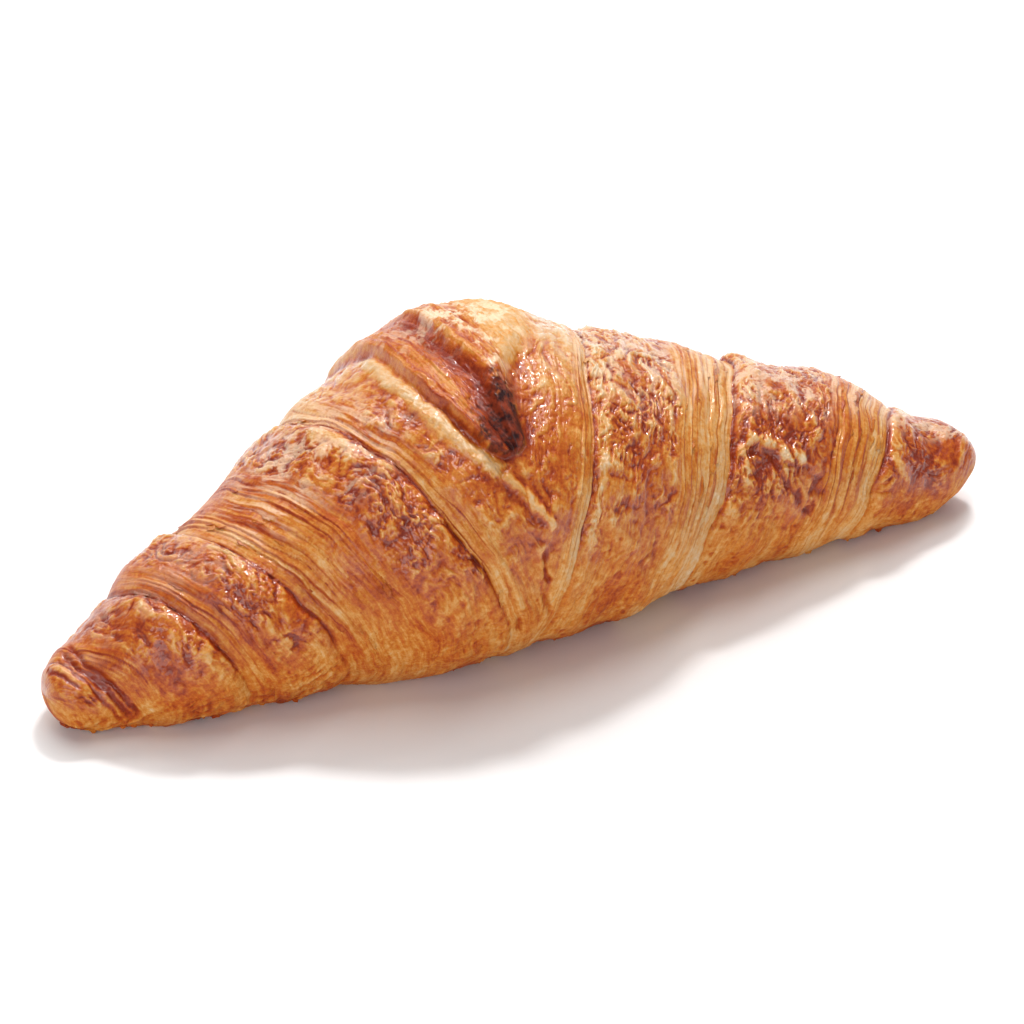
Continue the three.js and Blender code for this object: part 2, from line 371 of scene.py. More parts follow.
def ring_crossing(place, degrees):
    distance = np.abs(place - V_CENTRE)
    side_slant = np.where(place < V_CENTRE, slant_at(distance, LEFT), slant_at(distance, RIGHT))
    follow = smooth(distance / SHEAR_FROM_V)
    follow = follow * smooth((HALF_LENGTH - np.abs(place)) / SHEAR_FROM_END)
    lean = side_slant * follow * through(WINDING, degrees, True)
    return place + np.sign(V_CENTRE - place) * lean


def opening(x):
    blunt = np.where(x < 0, BLUNT_LEFT, BLUNT_RIGHT)
    return (1 - clamp(1 - (HALF_LENGTH - np.abs(x)) / blunt) ** BLUNT_POWER) ** (1 / BLUNT_POWER)


class Surface:
    """The grid's places, and the fields that its relief and its browning are worked out from."""

    def __init__(self, rings, columns):
        turn = np.linspace(-math.pi, math.pi, columns, endpoint=False)
        angle = turn - CROWDING * np.sin(turn - CROWDED_ANGLE)
        angle = np.arctan2(np.sin(angle), np.cos(angle))
        place = ring_places(rings)[:, None]
        self.angle = np.broadcast_to(angle, (rings, columns))
        self.degrees = np.degrees(self.angle)
        self.x = ring_crossing(place, self.degrees)
        self.radius = through(RADII, self.x)
        self.share = np.minimum(1, self.radius / FULL_RELIEF_RADIUS)
        self.on_left = self.x < V_CENTRE
        self.winding = through(WINDING, self.degrees, True)
        self.arc = self.angle * self.radius  # mm round the body from the top
        self.smooth_y = self.radius * WIDTH_OVER_HEIGHT * np.sin(self.angle)
        self.smooth_z = self.radius * np.cos(self.angle)

    def grain(self, wave, seed, octaves=3, gain=0.5):
        """Fractal noise over the surface, of a wavelength in mm."""
        return fractal(self.x / wave, self.smooth_y / wave, self.smooth_z / wave, seed, octaves, gain)

    def point(self, relief):
        """The surface raised by relief, in mm, in the solid's frame before centring."""
        t = self.x / HALF_LENGTH
        open_ = opening(self.x)
        across = (self.radius * WIDTH_OVER_HEIGHT + relief) * open_ * np.sin(self.angle)
        up = (self.radius + relief) * open_ * np.cos(self.angle)
        lift = np.where(self.x < 0, LIFT_LEFT, LIFT_RIGHT)
        lift = lift * smooth(1 - (HALF_LENGTH - np.abs(self.x)) / LIFT_LENGTH)
        y = (BOW + SKEW * t) * (1 - t * t) + across
        z = np.maximum(0.0, AXIS_LEVEL * self.radius + lift + up)
        return self.x, y, z


def wrap_fields(surface, side, warp, ragged, seed):
    """Relief and masks of one side's wraps: skins, creases and the cut layers between them."""
    s = surface
    q = wrap_distance(s.x, s.winding, side) + warp
    names = ("start", "layers", "end", "rise", "crown", "drop", "brown", "strip", "count")
    table = {name: np.array(side[name], float) for name in names}
    k = np.clip(np.searchsorted(table["start"], q, side="right") - 1, 0, len(table["start"]) - 1)
    start, layers, end, rise, crown, drop, brown, strip, count = (table[name][k] for name in names)
    foot = np.where(k > 0, table["drop"][np.maximum(k - 1, 0)], 0)
    shoulder = (1 - (1 - clamp((q - start) / rise)) ** 2) ** 0.7
    cut = clamp((q - layers) / (end - layers))
    relief = -foot + (crown + foot) * shoulder - (crown + drop) * cut ** 1.4

    # Each cut layer is a shingle: it rises outwards, then drops at its lip. They differ in thickness,
    # run slowly together and apart, and each fades in and out along its length.
    free = smooth(cut * 5) * smooth((1 - cut) * 5)
    step = cut * count + free * LINES_DRIFT * noise(q / 3.2, s.arc / 36, k * 1.9, seed)
    step = step + free * 0.5 * LINES_DRIFT * noise(q / 1.3, s.arc / 17, k * 1.9, seed + 1)
    index = np.floor(step)
    part = step - index
    weight = clamp(0.42 + 0.9 * noise(index * 3.7, k * 5.1, 0.5, seed + 2))
    weight = clamp(weight + 0.8 * noise(index * 2.9, s.arc / 15, k * 1.7, seed + 3))
    strength = weight * smooth(cut * 14) * smooth((1 - cut) * 14)
    shingle = np.where(part < 0.84, part / 0.84, (1 - part) / 0.16) - 0.5
    relief = relief + SHINGLES_HIGH * shingle * strength
    line = smooth((part - 0.72) / 0.16) * smooth((1.03 - part) / 0.08) + smooth((0.08 - part) / 0.08)
    in_layers = smooth((q - layers + ragged) / 2.4 + 0.5) * smooth((end - q) / 0.5)
    crease = np.exp(-(((q - start) / 0.35) ** 2)) * (k > 0) + np.exp(-(((q - end) / 0.45) ** 2))
    crease = crease * clamp(0.45 + 1.3 * noise(s.arc / 11, k * 4.1, 0.5, seed + 5))
    return dict(
        q=q, relief=relief, cut=cut, in_layers=in_layers, line=clamp(line) * strength, crease=clamp(crease),
        brown=brown, strip=strip, tint=noise(index * 5.3 + 0.5, s.arc / 22, k * 2.3, seed + 4),
    )


def joined_wraps(surface):
    """The relief and masks of the wraps on both sides, joined at the V."""
    s = surface
    warp = 0.7 * noise(s.x / 14, s.arc / 10, 0, 11) + 0.22 * noise(s.x / 4, s.arc / 3.2, 0, 12)
    ragged = 1.2 * noise(s.x / 5, s.arc / 6, 0, 13) + 0.9 * fractal(s.x / 1.7, s.arc / 2, 0, 14, 2)
    left = wrap_fields(s, LEFT, warp, ragged, 20)
    right = wrap_fields(s, RIGHT, warp, ragged, 40)
    side_mix = smooth((s.x - V_CENTRE) / 5 + 0.5)
    share = relief_share(s.degrees)
    w = SimpleNamespace(**{name: np.where(s.on_left, left[name], right[name]) for name in left})
    w.relief = mix(left["relief"], right["relief"], side_mix) * share + unevenness(s)
    w.brown = mix(left["brown"], right["brown"], side_mix)
    w.crease = w.crease * (0.25 + 0.75 * share)
    w.skin = 1 - w.in_layers
    w.ragged = ragged
    return w


def tongue_fields(surface):
    """The tongue's relief, where it lies, and the lanes, streaks and ropes that run along it."""
    s = surface
    warp = 0.35 * noise(s.x / 3, s.arc / 3, 0, 60)
    left_edge = through(TONGUE_LEFT, s.degrees)
    width = through(TONGUE_RIGHT, s.degrees) - left_edge
    from_left = s.x - left_edge + warp
    from_tip = (s.degrees - TONGUE_TIP) * TIP_MM_PER_DEGREE + 2.2 * warp
    inside = smooth(np.minimum(from_left, from_tip) / TONGUE_LIP)
    inside = inside * smooth((width - from_left) / TONGUE_SLOPE_END)
    rim = np.minimum(TONGUE_RIM, width * 0.8)
    beyond = clamp((from_left - rim) / (width - rim))
    across = np.minimum(from_left / rim, 1) * TONGUE_RIM
    profile = through(TONGUE_FRONT, across) - TONGUE_FALL * beyond
    plain = smooth((s.degrees - TONGUE_TURNS_PLAIN[0]) / (TONGUE_TURNS_PLAIN[1] - TONGUE_TURNS_PLAIN[0]))
    sunk = smooth((s.degrees - TONGUE_FADE[0]) / (TONGUE_FADE[1] - TONGUE_FADE[0]))
    height = mix(profile, TONGUE_BACK, plain) * (1 - sunk)
    on = inside * (1 - sunk)
    return SimpleNamespace(
        relief=height * inside,
        on=on,
        beyond=beyond,
        plain=plain,
        from_left=from_left,
        wall=4 * on * (1 - on) * (beyond == 0),
        lane=across + 0.5 * noise(s.arc / 7, 0.3, 0, 86),
        streaks=fractal(from_left / 0.9, s.arc / 16, 0, 82, 3, 0.6),
        ropes=ridged(from_left / 2.2, s.arc / 14, 0, 87, 3, 0.6) - 0.45,
    )


def unevenness(surface):
    x, a = surface.x, surface.angle
    return (
        0.30 * np.sin(0.17 * x + 1.9 * np.sin(a) + 0.7)
        + 0.22 * np.sin(0.31 * x - 2.6 * np.cos(a) + 2.1)
        + 0.18 * np.sin(0.53 * x + 3.3 * np.sin(a + 1.1) + 4)
    )


def relief_share(degrees):
    """How far the wraps stand out: fully over the top, less towards the base."""
    return mix(LOW_RELIEF, 1, smooth((degrees + 118) / 60) * smooth((140 - degrees) / 60))


def blurred(values, reach_rings, reach_columns):
    """The mean over a box of grid cells, taken twice. The columns close on themselves."""
    for _ in range(2):
        values = np.pad(values, ((reach_rings + 1, reach_rings), (0, 0)), "edge")
        total = np.cumsum(values, axis=0, dtype=np.float64)
        width = 2 * reach_rings + 1
        values = (total[width:] - total[:-width]) / width
        values = np.pad(values, ((0, 0), (reach_columns + 1, reach_columns)), "wrap")
        total = np.cumsum(values, axis=1, dtype=np.float64)
        width = 2 * reach_columns + 1
        values = (total[:, width:] - total[:, :-width]) / width
    return values


def hollows(surface, relief, reach):
    """How far the relief lies under its surroundings within reach, in mm."""
    rings, columns = relief.shape
    reach_rings = max(1, round(reach * rings / (2 * HALF_LENGTH)))
    reach_columns = max(1, round(reach * columns / 150))
    return blurred(relief, reach_rings, reach_columns) - relief


def near_line(surface, places):
    """Distance in mm to a line through places (degrees, x), signed by its side, and the share passed."""
    s = surface
    nearest = np.full(s.x.shape, 1e3)
    signed = nearest.copy()
    passed = np.zeros(s.x.shape)
    spans = list(zip(places, places[1:]))
    for i, ((degrees_a, x_a), (degrees_b, x_b)) in enumerate(spans):
        from_x = s.x - x_a
        from_arc = np.radians(s.degrees - degrees_a) * s.radius
        run_x = x_b - x_a
        run_arc = math.radians(degrees_b - degrees_a) * s.radius
        t = clamp((from_x * run_x + from_arc * run_arc) / (run_x ** 2 + run_arc ** 2))
        gap = np.hypot(from_x - t * run_x, from_arc - t * run_arc)
        nearer = gap < nearest
        nearest = np.where(nearer, gap, nearest)
        signed = np.where(nearer, gap * np.sign(from_x * run_arc - from_arc * run_x), signed)
        passed = np.where(nearer, (i + t) / len(spans), passed)
    return signed, passed


def ridge_along(surface, places, half, wander):
    """1 along a line, falling to 0 at half away from it and at its ends."""
    signed, passed = near_line(surface, places)
    return smooth(1 - np.abs(signed + wander) / half) * smooth(passed * 8) * smooth((1 - passed) * 8)


def patches(surface, wander):
    """How much more or less browned the places of PATCHES are."""
    total = 0.0
    for degrees, x, round_it, along, amount in PATCHES:
        from_arc = np.radians(surface.degrees - degrees) * surface.radius
        away = np.hypot(from_arc / round_it, (surface.x - x) / along)
        total = total + amount * smooth(1.35 - away + wander)
    return total


def textures(surface, q):
    """Wandering folds, wrinkles, plates, thin leaves and pits, and streaks along the wraps."""
    s = surface
    bend = s.grain(8, 70, 2)
    leaf = 2.4 * fractal(q / 6.5 + 0.5 * bend, s.arc / 8, 0, 75, 5, 0.58)
    bent_u = q + 1.1 * s.grain(2.6, 77, 3, 0.6)
    bent_v = s.arc + 1.1 * s.grain(2.6, 78, 3, 0.6)
    large_plates = plates(bent_u / 3.1, bent_v / 4.2, 5)
    small_plates = plates(bent_u / 1.15 + 0.4, bent_v / 1.9, 9)
    return SimpleNamespace(
        bend=bend,
        folds=billows(q / 3.3 + 1.2 * bend, s.arc / 4.6 - bend, 0, 71, 3, 0.42) - 0.38,
        wrinkles=ridged(q / 1.25 + bend, s.arc / 2.3 + bend, 0, 72, 2, 0.4) - 0.45,
        crumpled=LARGE_PLATES_HIGH * large_plates + SMALL_PLATES_HIGH * small_plates,
        leaves=np.floor(leaf) + smooth((leaf - np.floor(leaf)) / 0.1),
        fine=s.grain(0.7, 73, 2, 0.7),
        swells=fractal(q / 8 + 0.4 * bend, s.arc / 9, 0, 79, 2, 0.6),
        streaks=fractal(q / 1.2, s.arc / 15, 0, 74, 3, 0.5),
        ropes=fractal(q / 2.8 + 0.4 * bend, s.arc / 16, 0, 76, 2, 0.5),
        mottle=s.grain(6.5, 80, 3),
        specks=s.grain(1.5, 81, 3, 0.7),
        pits=smooth((s.grain(1.9, 84, 2) - 0.22) / 0.3),
    )


def marks(surface, texture):
    """The single ridges, slits, grooves and flaps, and the scaly lower left edge, each from 0 to 1."""
    s = surface
    wander = 0.5 * s.grain(3, 90, 2)

    def ridge(places, half, strays=1.0, aside=0.0):
        return ridge_along(s, places, half, strays * wander + aside)

    scaly = smooth((-92 - s.degrees + 14 * texture.mottle) / 16) * smooth((-34 - s.x) / 14)
    slits = np.maximum(ridge(SLIT, 1.0, 2.2), ridge(SHORT_SLIT, 0.8, 2))
    flap_valley = np.maximum(ridge(FLAP_VALLEY, 2.0, 3), ridge(FLAP_EDGE, 1.8, 3))
    return SimpleNamespace(
        band=ridge(BAND, 2.4),
        tail=ridge(BAND_TAIL, 1.5),
        thin_ridge=ridge(THIN_RIDGE, 0.9),
        slits=slits * clamp(0.6 + 1.8 * s.grain(2.5, 91, 2)),
        end_band=ridge(END_GROOVE, 2.4),
        end_groove=np.maximum(ridge(END_GROOVE, 0.7), ridge(END_GROOVE, 0.6, aside=1.3)),
        end_line=np.maximum(ridge(END_LINE, 0.6), 0.7 * ridge(END_GROOVE, 0.5, aside=-1.3)),
        scaly=scaly * clamp(0.5 + 1.8 * s.grain(7, 96, 2)),
        scales=billows(s.x / 3.6 + texture.bend, s.arc / 3.0, 0, 95, 3, 0.45) - 0.35,
        flap=ridge(FLAP, 2.0),
        flap_valley=flap_valley * clamp(0.55 + 1.2 * s.grain(3, 94, 2)),
    )


class Crust:
    """The crust's relief in mm, and the fields that its material reads."""

    def __init__(self, surface):
        s = surface
        self.surface = s
        self.wraps = joined_wraps(s)
        self.tongue = tongue_fields(s)
        self.texture = textures(s, self.wraps.q)
        self.marks = marks(s, self.texture)

        # How far the top heat reached: full over the top, less on the lower flanks
        uneven_reach = 14 * self.texture.mottle + 14 * self.texture.streaks
        exposed = smooth((s.degrees + 104 + uneven_reach) / 40)
        self.exposed = exposed * smooth((128 - s.degrees + uneven_reach) / 50)
        self.in_middle = smooth((21 - self.wraps.q) / 3)
        wrinkled = self.wraps.skin * (0.18 + 0.82 * self.exposed) * clamp(0.62 + 1.5 * s.grain(6, 85, 2))
        calmer = 1 - 0.6 * self.tongue.on * (1 - 0.6 * self.tongue.plain)
        self.wrinkled = wrinkled * (1 - 0.7 * self.in_middle) * calmer

        self.relief = self.raised()
        # How far each place lies in a hollow: the browning is darkened by it as painted shade, and
        # lightened on humps as painted light.
        self.deep = np.clip(hollows(s, self.relief, 0.7) / 0.12, -1.5, 2)
        self.deeper = np.clip(hollows(s, self.relief, 2.2) / 0.35, -1.5, 2)
        self.away_from_burnt = np.hypot(
            np.radians(s.degrees - BURNT[0]) * s.radius / BURNT[2], (s.x - BURNT[1]) / BURNT[3]
        )
        char = 1.8 * (1 - self.away_from_burnt) + 1.8 * s.grain(1.8, 83, 3, 0.7) + 0.65
        self.char = smooth(char) * smooth(self.tongue.on * 4)
        pale_edge = bump_at(self.wraps.q, PALE_STRIP, 3.0) * (1 - s.on_left) * smooth((s.degrees + 50) / 30)
        self.crease = self.wraps.crease * (1 - 0.8 * pale_edge)

    def raised(self):
        """The whole relief: of the wraps, the skins, the tongue and the single marks."""
        s, w, t, tongue, m = self.surface, self.wraps, self.texture, self.tongue, self.marks
        rough = FOLDS_HIGH * t.folds + WRINKLES_HIGH * t.wrinkles + t.crumpled + LEAVES_HIGH * t.leaves
        rough = rough + FINE_HIGH * t.fine
        calm = 0.25 * t.folds + 0.2 * t.crumpled - 0.2 * t.pits + 0.03 * t.fine
        relief = w.relief + self.wrinkled * rough
        relief = relief + SWELLS_HIGH * t.swells * (w.skin + 0.3)
        relief = relief + (STREAKS_HIGH * t.streaks + ROPES_HIGH * t.ropes) * (1 - 0.7 * self.wrinkled)
        relief = relief + 0.05 * w.in_layers * t.fine
        relief = relief + (1 - self.wrinkled) * (1 - 0.6 * w.in_layers) * calm
        along_tongue = 0.35 * tongue.streaks + 0.55 * tongue.ropes
        relief = relief + tongue.on * (1 - 0.6 * tongue.plain) * along_tongue
        relief = relief * s.share ** 0.7 * (1 - 0.7 * tongue.wall) + tongue.relief
        relief = relief + SCALES_HIGH * m.scaly * m.scales
        relief = relief + FLAP_HIGH * m.flap - FLAP_HIGH * m.flap_valley
        relief = relief + BAND_HIGH * m.band + BAND_HIGH * m.tail + THIN_RIDGE_HIGH * m.thin_ridge
        relief = relief - SLITS_DEEP * m.slits - END_GROOVE_DEEP * m.end_groove
        return relief - END_LINE_DEEP * m.end_line - END_BAND_DEEP * m.end_band

    def body_browning_and_shade(self):
        """The browning of the low flanks, the skins and the cut layers, with painted shade in hollows,
        creases and under the layers' lips.
        """
        s, w, t = self.surface, self.wraps, self.texture
        d = s.degrees
        low = LOW_BROWN + 0.07 * t.mottle + 0.18 * t.streaks + 0.16 * t.ropes + 0.10 * t.specks
        # The pits darker, and the relief's small hollows darker as painted shade.
        low = low + 0.12 * t.pits + 0.05 * self.deep
        low = low + 0.22 * smooth((-128 - d + 8 * t.mottle) / 14)
        valley = smooth((-0.12 - t.folds) / 0.22)
        high = w.brown + 0.14 * t.mottle + 0.10 * t.specks + 0.08 * t.streaks
        # Darker in the relief's small and wide hollows: painted shade.
        high = high + 0.12 * self.deep + 0.10 * self.deeper
        # Darker in the folds' valleys and paler on the wrinkles' crests: partly the crust's own tone,
        # partly painted shade and painted highlight.
        high = high + self.wrinkled * (0.24 * valley - 0.16 * t.wrinkles - 0.03) + 0.05 * w.skin
        high = high + 0.08 * self.in_middle * smooth((-15 - d) / 25)
        high = high - 0.10 * self.in_middle * smooth((d + 20) / 25)
        browning_and_shade = mix(low, high, self.exposed)
        pale = w.strip + 0.14 * w.tint + 0.07 * t.mottle + 0.18 * t.streaks + 0.12 * t.ropes
        # Darker in hollows: painted shade.
        pale = pale + 0.04 * self.deep
        pale = pale + 0.14 * (1 - w.cut) ** 1.5 * self.exposed - 0.08 * w.cut
        browning_and_shade = mix(browning_and_shade, pale, w.in_layers * 0.9)
        # Dark lines under the layers' lips: partly their browned edges, partly painted shade.
        browning_and_shade = browning_and_shade + 0.36 * w.line * w.in_layers * (0.3 + 0.7 * self.exposed) * (1.2 - 0.5 * w.cut)
        # Darker in the creases: partly browning, partly painted shade.
        browning_and_shade = browning_and_shade + 0.10 * w.crease * (0.3 + 0.7 * self.exposed)
        uneven = clamp(0.7 + 0.9 * self.wrinkled * valley + 1.2 * t.specks)
        browning_and_shade = browning_and_shade + patches(s, 0.45 * t.specks + 0.5 * t.mottle) * uneven
        pale_strip = bump_at(w.q + 0.3 * w.ragged, PALE_STRIP, 1.6) * (1 - s.on_left)
        return browning_and_shade - 0.26 * pale_strip * self.exposed

    def tongue_browning_and_shade(self):
        """A streaked brown ridge, an amber channel, a dark rim, and a pale slope to its right, with painted
        shade in the rim's and the back's hollows.
        """
        t, tongue = self.texture, self.tongue
        lane = tongue.lane
        stripes = bump_at(lane, 1.0, 0.5) + bump_at(lane, 2.3, 0.45) + 0.8 * bump_at(lane, 5.0, 0.6)
        ridge = TONGUE_RIDGE_BROWN + 0.22 * tongue.streaks + 0.24 * stripes - 0.10 * tongue.ropes
        channel = TONGUE_CHANNEL_BROWN + 0.10 * t.mottle + 0.14 * t.specks + 0.16 * bump_at(lane, 8.4, 1.4)
        # The rim darker in its hollows: painted shade.
        rim = TONGUE_RIM_BROWN + 0.16 * t.specks + 0.10 * self.deep + 0.2 * bump_at(lane, 9.8, 0.9)
        slope = TONGUE_SLOPE_BROWN + 0.08 * t.mottle + 0.22 * tongue.streaks
        # The plain back darker in its wide hollows: painted shade.
        back = TONGUE_BACK_BROWN + 0.14 * t.mottle + 0.12 * t.specks + 0.06 * self.deeper
        browning_and_shade = mix(ridge, channel, smooth((lane - 5.4) / 1.2))
        browning_and_shade = mix(browning_and_shade, rim, smooth((lane - 9.2) / 0.8))
        browning_and_shade = mix(browning_and_shade, slope, smooth(tongue.beyond * 2.5))
        return mix(browning_and_shade, back, tongue.plain * 0.8)

    def browning_and_shade(self):
        """The browning with painted shade in hollows and creases, from 0 for pale to 1 for dark brown."""
        t, m, on_tongue = self.texture, self.marks, self.tongue.on
        browning_and_shade = mix(self.body_browning_and_shade(), self.tongue_browning_and_shade(), on_tongue)
        browning_and_shade = browning_and_shade + 0.22 * smooth(1.8 - self.away_from_burnt) * on_tongue
        browning_and_shade = mix(browning_and_shade, 0.22 + 0.12 * t.specks + 0.2 * t.streaks, 0.9 * m.band) + 0.1 * m.slits
        browning_and_shade = mix(browning_and_shade, 0.40 + 0.12 * t.specks, 0.6 * m.thin_ridge)
        browning_and_shade = browning_and_shade + m.scaly * (0.06 - 0.3 * m.scales)
        browning_and_shade = browning_and_shade - 0.24 * m.flap + 0.26 * m.flap_valley
        return clamp(browning_and_shade + 0.14 * m.end_band + 0.16 * m.end_groove + 0.2 * m.end_line)

    def groove_browning_and_shade(self):
        """The dark lines under the cut layers' lips and in the creases, slits and grooves: partly the
        crust's darker browning there, partly painted shade.
        """
        w, m = self.wraps, self.marks
        groove_browning_and_shade = 0.8 * w.line * w.in_layers + 0.6 * self.crease + 1.5 * m.slits
        groove_browning_and_shade = clamp(groove_browning_and_shade + 0.8 * m.end_groove + 0.8 * m.end_line)
        return groove_browning_and_shade * (0.35 + 0.65 * self.exposed) * (1 - 0.8 * self.tongue.on)

    def painted_sheen(self):
        """A painted sheen, pale pink, on the upper side where the lights reflect: blotches on skins,
        threads on layers, less in hollows.
        """
        s, w, t, tongue = self.surface, self.wraps, self.texture, self.tongue
        d = s.degrees
        upper = smooth((d + 39 + 8 * t.mottle) / 26) * smooth((100 - d) / 40)
        upper = upper * (1 - 0.75 * smooth((d - 12) / 24))
        blotches = fractal(w.q / 2.4 + t.bend, s.arc / 3.2, 0, 92, 4, 0.68) + 0.08 - 0.06 * self.deep
        blotches = smooth(blotches / 0.22)
        threads = smooth((fractal(w.q / 0.8, s.arc / 8, 0, 93, 3, 0.6) + 0.10) / 0.3)
        blotches_on_tongue = smooth((s.grain(3.4, 97, 4, 0.68) + 0.02) / 0.22)
        painted_sheen = mix(mix(blotches, threads, w.in_layers), blotches_on_tongue, tongue.on)
        painted_sheen = upper * painted_sheen * (1 - self.char)
        painted_sheen = painted_sheen * mix(0.25, 1, clamp(smooth((w.q - 16) / 6) + tongue.on))
        painted_sheen = painted_sheen * (1 - 0.6 * smooth((-44 - s.x) / 12))
        by_lane = 0.12 + 0.6 * smooth(d / 12) + 1.3 * smooth((tongue.lane - 9.6) / 1.5)
        painted_sheen = painted_sheen * mix(1, by_lane, tongue.on * (1 - tongue.plain))
        return painted_sheen * (1 - tongue.wall)

    def glaze(self):
        """How strongly the egg wash shines."""
        w, tongue = self.wraps, self.tongue
        glaze = self.exposed * (w.skin + 0.5 * w.in_layers) * clamp(0.8 + 0.6 * self.texture.mottle)
        on_tongue = 0.48 * (1 - smooth(tongue.beyond * 2))
        return clamp(mix(glaze, on_tongue, tongue.on) * (1 - 0.7 * self.char))

    def along(self):
        """A coordinate in mm across the fibres, which run along the wraps and along the tongue."""
        q, tongue = self.wraps.q, self.tongue
        on_wraps = np.where(self.surface.on_left, -q, q)
        return np.where(tongue.on > 0.02, tongue.from_left + APART_FROM_WRAPS, on_wraps)

    def lips(self):
        """Where the cut layers' lips stand free, for the flakes."""
        w = self.wraps
        free = (w.line * w.in_layers + 0.6 * self.crease) * (0.2 + self.exposed)
        return free * (1 - self.tongue.on)

    def fields(self):
        fibrous = 0.25 + 0.75 * self.wraps.in_layers + 0.5 * (1 - self.exposed)
        return dict(
            browning_and_shade=self.browning_and_shade(),
            char=self.char,
            glaze=self.glaze(),
            groove_browning_and_shade=self.groove_browning_and_shade(),
            painted_sheen=self.painted_sheen(),
            along=self.along(),
            around=self.surface.arc,
            fibrous=clamp(fibrous),
        )


def left_end_shift():
    """The solid is centred on its box. Its left end was at y = 0 before that, and shows by how much."""
    solid = bpy.data.objects["croissant"].data
    places = np.empty(len(solid.vertices) * 3)
    solid.vertices.foreach_get("co", places)
    places = places.reshape(-1, 3) / MM
    return places[np.argmin(places[:, 0]), 1]


SHIFT_Y = left_end_shift()


def grid_mesh(name, points, fields):
    """A closed mesh of a grid of rings whose first and last are single points."""
    rings, columns = points[0].shape
    inner = np.stack(points, axis=-1)[1:-1].reshape(-1, 3)
    ends = np.array([[p[0, 0] for p in points], [p[-1, 0] for p in points]])
    vertices = np.concatenate([inner, ends]) + np.array([0, SHIFT_Y, 0])
    rows = rings - 2
    r = np.arange(rows - 1)[:, None] * columns
    c = np.arange(columns)
    n = (c + 1) % columns
    quads = np.stack([r + c, r + columns + c, r + columns + n, r + n], axis=-1).reshape(-1, 4)
    first, last = len(inner), len(inner) + 1
    left_fan = np.stack([np.full(columns, first), c, n], axis=-1)
    top = (rows - 1) * columns
    right_fan = np.stack([np.full(columns, last), top + n, top + c], axis=-1)
    corners = np.concatenate([quads.ravel(), left_fan.ravel(), right_fan.ravel()])
    sizes = np.concatenate([np.full(len(quads), 4), np.full(2 * columns, 3)])
    mesh = bpy.data.meshes.new(name)
    mesh.vertices.add(len(vertices))
    mesh.vertices.foreach_set("co", (vertices * MM).ravel().astype(np.float32))
    mesh.loops.add(len(corners))
    mesh.loops.foreach_set("vertex_index", corners.astype(np.int32))
    mesh.polygons.add(len(sizes))
    mesh.polygons.foreach_set("loop_start", np.concatenate([[0], np.cumsum(sizes)[:-1]]).astype(np.int32))
    mesh.update(calc_edges=True)
    ring_edges = np.arange(1, rows)[:, None] + 0 * c
    quad_u = np.stack([ring_edges, ring_edges + 1, ring_edges + 1, ring_edges], axis=-1)
    quad_v = np.broadcast_to(np.stack([c, c, c + 1, c + 1], axis=-1), quad_u.shape)
    left_u = np.stack([0 * c, 0 * c + 1, 0 * c + 1], axis=-1)
    left_v = np.stack([c + 0.5, c, c + 1], axis=-1)
    right_v = np.stack([c + 0.5, c + 1, c], axis=-1)
    flat_u = np.concatenate([quad_u.ravel(), left_u.ravel(), (rings - 1 - left_u).ravel()]) / (rings - 1)
    flat_v = np.concatenate([quad_v.ravel(), left_v.ravel(), right_v.ravel()]) / columns
    layer = mesh.uv_layers.new(name="OFBake")
    layer.uv.foreach_set("vector", np.stack([flat_u, flat_v], axis=-1).ravel().astype(np.float32))
    for field, values in fields.items():
        attribute = mesh.attributes.new(field, "FLOAT", "POINT")
        flat = np.concatenate([values[1:-1].ravel(), [values[0].mean(), values[-1].mean()]])
        attribute.data.foreach_set("value", flat.astype(np.float32))
    mesh.shade_smooth()
    mesh.validate()
    return mesh


def flip_if_inward(mesh):
    """Turn the faces out, judged by the signed volume."""
    mesh.calc_loop_triangles()
    places = np.empty(len(mesh.vertices) * 3, np.float32)
    mesh.vertices.foreach_get("co", places)
    places = places.reshape(-1, 3)
    tris = np.empty(len(mesh.loop_triangles) * 3, np.int32)
    mesh.loop_triangles.foreach_get("vertices", tris)
    a, b, c = (places[tris.reshape(-1, 3)[:, i]] for i in range(3))
    if np.einsum("ij,ij->i", a, np.cross(b, c)).sum() < 0:
        mesh.flip_normals()


# Materials

def colour(red, green, blue):
    """An sRGB colour of 0 to 255 as linear light."""
    srgb = np.array([red, green, blue]) / 255
    linear = np.where(srgb <= 0.04045, srgb / 12.92, ((srgb + 0.055) / 1.055) ** 2.4)
    return (*linear, 1.0)


CRUST_COLOURS = [
    (0.0, colour(226, 202, 170)),
    (0.2, colour(218, 180, 134)),
    (0.4, colour(214, 152, 78)),
    (0.55, colour(200, 119, 37)),
    (0.7, colour(185, 87, 16)),
    (0.85, colour(161, 60, 9)),
    (1.0, colour(130, 37, 6)),
]
CHAR_COLOURS = [(0.4, colour(44, 12, 14)), (0.62, colour(136, 50, 22))]
# Pale pink of the painted sheen on the upper side.
PAINTED_SHEEN_COLOUR = colour(244, 210, 174)
# Dark red-brown of the lines, creases and slits: partly their browning, partly painted shade.
GROOVE_BROWN_AND_SHADE_COLOUR = colour(150, 46, 12)
FIBRE_SQUEEZE = 0.09  # of the noise along the fibres, which draws it out


